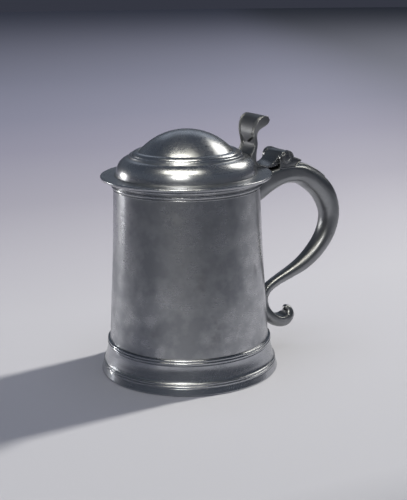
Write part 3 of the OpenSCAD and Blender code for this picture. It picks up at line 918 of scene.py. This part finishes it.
def make_solder():
    """The solder run out where the handle's root meets the drum."""
    ring = section_ring(0.05, 96)
    rings = []
    steps = 12
    for k in range(steps):
        a = math.tau * k / steps
        loop = []
        for p in ring:
            centre = np.array([0, 0, 122.0])
            away = np.array([0, p[1], p[2] - 122.0])
            away = away / np.linalg.norm(away)
            spot = np.array([0, p[1], p[2]]) + away * (0.25 + 0.75 * math.cos(a))
            x = math.sqrt(max(0.0, drum_radius(spot[2]) ** 2 - spot[1] ** 2))
            loop.append((x - 0.15 + 0.55 * math.sin(a), spot[1], spot[2]))
        rings.append(loop)
    sides = len(ring)
    points = [tuple(c * MM for c in p) for loop in rings for p in loop]
    faces = [(i * sides + k, i * sides + (k + 1) % sides, ((i + 1) % steps) * sides + (k + 1) % sides,
              ((i + 1) % steps) * sides + k) for i in range(steps) for k in range(sides)]
    mesh = bpy.data.meshes.new("handle.root.solder")
    mesh.from_pydata(points, [], faces)
    piece = settled("handle.root.solder", mesh, solder_finish)
    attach(piece, "tankard")


make_turned()
make_handle()
make_terminal()
make_tongue()
make_hinge()
make_thumbpiece()
make_lug()
make_solder()


# Studio ------------------------------------------------------------------------------------------

CAMERA_OUT = 0.7279
CAMERA_UP = 0.2711
HANDLE_TURN = math.radians(26.89)
SHADE_TURN = math.radians(4)
YAW, PITCH, ROLL = math.radians(0.865), math.radians(14.402), math.radians(-0.756)
LENS, SENSOR_WIDTH = 77.46, 36              # mm
NEAREST_SEEN, FARTHEST_SEEN = 0.05, 50      # metres


def turned_to_handle(v):
    """From the camera's own frame, which looks along +Y, to the tankard's."""
    return Matrix.Rotation(-HANDLE_TURN, 3, "Z") @ Vector(v)


def place_camera():
    ahead = Vector((math.sin(YAW) * math.cos(PITCH), math.cos(YAW) * math.cos(PITCH), -math.sin(PITCH)))
    level = Vector((math.cos(YAW), -math.sin(YAW), 0))
    upright = level.cross(ahead)
    across = level * math.cos(ROLL) + upright * math.sin(ROLL)
    top = upright * math.cos(ROLL) - level * math.sin(ROLL)
    camera = bpy.data.objects.new("camera", bpy.data.cameras.new("camera"))
    bpy.context.scene.collection.objects.link(camera)
    axes = [turned_to_handle(v) for v in (across, top, -ahead)]
    spot = turned_to_handle((0, -CAMERA_OUT, CAMERA_UP))
    rows = [[column[i] for column in axes + [spot]] for i in range(3)]
    camera.matrix_world = Matrix(rows + [[0, 0, 0, 1]])
    camera.data.sensor_width = SENSOR_WIDTH
    camera.data.lens = LENS
    camera.data.clip_start, camera.data.clip_end = NEAREST_SEEN, FARTHEST_SEEN
    bpy.context.scene.camera = camera


def lamp(name, azimuth, elevation, distance, width, height, power, colour=(1, 1, 1),
         aim=(0.01, 0, 0.08)):
    """A soft box; azimuth 0 is over the camera, 90 to its right."""
    data = bpy.data.lights.new(name, "AREA")
    data.shape = "RECTANGLE"
    data.size, data.size_y = width, height
    data.energy = power
    data.color = colour
    lamp_object = bpy.data.objects.new(name, data)
    bpy.context.scene.collection.objects.link(lamp_object)
    a, e = math.radians(azimuth), math.radians(elevation)
    out = turned_to_handle((math.sin(a) * math.cos(e), -math.cos(a) * math.cos(e), math.sin(e)))
    lamp_object.location = Vector(aim) + out * distance
    lamp_object.rotation_euler = out.to_track_quat("Z", "Y").to_euler()
    lamp_object.visible_camera = False
    return lamp_object


def floor_paper_and_painted_shade():
    """Pale paper with shade painted into its colour: painted shade behind the tankard, at both its sides
    and towards the camera, so that the metal has dark to reflect."""
    material, works = new_material("paper.pale.painted.shade")
    coordinates = works.node("ShaderNodeTexCoord", out="Object")
    x, y, _ = works.axes(coordinates)
    back = x * math.sin(SHADE_TURN) + y * math.cos(SHADE_TURN)
    right = x * math.cos(HANDLE_TURN) - y * math.sin(HANDLE_TURN)
    nearest, reach = -2.5, 6.0
    # Painted shade, by metres behind the tankard: a dark band in front of it, pale paper round it, and
    # painted fall-off into shade behind it.
    painted_shade_stops = [(-2.5, (0.42, 0.42, 0.45)), (-1.3, (0.30, 0.30, 0.33)), (-0.85, (0.15, 0.155, 0.17)),
              (-0.36, (0.12, 0.125, 0.14)), (-0.21, (0.58, 0.575, 0.58)), (0.16, (0.60, 0.59, 0.60)),
              (0.34, (0.53, 0.515, 0.54)), (0.60, (0.405, 0.39, 0.435)), (1.0, (0.315, 0.305, 0.37)),
              (1.4, (0.265, 0.265, 0.335)), (2.2, (0.235, 0.24, 0.31)), (3.4, (0.23, 0.235, 0.305))]
    stops = [((at - nearest) / reach, shade + (1,)) for at, shade in painted_shade_stops]
    tone = works.node("ShaderNodeValToRGB", {"stops": stops}, {0: (back - nearest) / reach})
    grain = works.node("ShaderNodeTexNoise", {}, {"Vector": coordinates, "Scale": 400.0, "Detail": 2.0})
    # Painted shade on the paper to the tankard's right.
    tone = works.mixed(right.rise(0.22, 0.70) * 0.65, tone, (0.12, 0.125, 0.14, 1))
    # Painted shade on the paper to the tankard's left, fading out behind it.
    painted_shade_beside = (right * -1.0).rise(0.22, 0.45) * (back * -1.0).rise(-0.60, -0.20)
    tone = works.mixed(painted_shade_beside * 0.75, tone, (0.14, 0.145, 0.16, 1))
    colour = works.mixed((grain - 0.5).maths("ABSOLUTE") * 0.15, tone, (0.5, 0.5, 0.5, 1))
    works.end_with(works.node("ShaderNodeBsdfPrincipled", {}, {"Base Color": colour, "Roughness": 0.85}))
    return material


def lay_floor():
    """One round sheet of paper."""
    steps, radii = 96, (0.0, 0.4, 1.0, 2.0, 4.0, 8.0)
    points = [(0, 0, 0)]
    faces = []
    for j, r in enumerate(radii[1:]):
        for k in range(steps):
            a = math.tau * k / steps
            points.append((r * math.cos(a), r * math.sin(a), 0))
            m = (k + 1) % steps
            if j == 0:
                faces.append((0, 1 + k, 1 + m))
            else:
                low, high = 1 + (j - 1) * steps, 1 + j * steps
                faces.append((low + k, high + k, high + m, low + m))
    mesh = bpy.data.meshes.new("floor")
    mesh.from_pydata(points, [], faces)
    mesh.materials.append(floor_paper_and_painted_shade())
    floor = bpy.data.objects.new("floor", mesh)
    bpy.context.scene.collection.objects.link(floor)


def light_room():
    """A dim room that is darkest at the horizon, a far key lamp and soft boxes. The key and the fill
    don't show in reflections; the sheen and the four small lamps show only there."""
    world = bpy.data.worlds.new("room")
    bpy.context.scene.world = world
    world.use_nodes = True
    world.node_tree.nodes.clear()
    works = Works(world.node_tree)
    _, _, up = works.axes(works.node("ShaderNodeTexCoord", out="Generated"))
    tone = works.node("ShaderNodeValToRGB", {"stops": [
        (0.0, (0.036, 0.039, 0.055, 1)), (0.03, (0.04, 0.044, 0.06, 1)), (0.24, (0.10, 0.115, 0.14, 1)),
        (0.45, (0.085, 0.10, 0.125, 1)), (0.75, (0.055, 0.067, 0.09, 1))]}, {0: up})
    works.end_with(works.node("ShaderNodeBackground", {}, {"Color": tone, "Strength": 1.0}),
                   "ShaderNodeOutputWorld")
    key = lamp("key", 122, 36, 5.0, 0.35, 0.35, 284, (1.0, 0.985, 0.955))
    key.visible_glossy = False
    sheen = lamp("key.sheen", 130, 38, 2.0, 0.85, 0.75, 8.5, (1.0, 0.97, 0.88))
    sheen.visible_diffuse = False
    for name, azimuth, elevation, distance, width, height, power, colour in (
            ("top.box", -14, 67, 1.2, 0.80, 0.38, 6.0, (1.0, 0.965, 0.83)),
            ("front.box", -12, 37, 1.2, 0.34, 0.20, 3.6, (1.0, 0.98, 0.90)),
            ("left.card", -112, -8, 0.85, 0.03, 0.34, 0.40, (0.97, 0.98, 1.0)),
            ("left.glint", -119, 5, 0.85, 0.06, 0.10, 0.85, (1.0, 0.98, 0.94))):
        lamp(name, azimuth, elevation, distance, width, height, power, colour).visible_diffuse = False
    lamp("back.panel", 178, 34, 2.2, 1.6, 0.7, 1.2, (0.80, 0.88, 1.0))
    fill = lamp("fill", 0, 88, 2.5, 2.0, 2.0, 20.5, (0.81, 0.83, 1.0))
    fill.visible_glossy = False
    bpy.context.scene.view_settings.view_transform = "Standard"


place_camera()
lay_floor()
light_room()
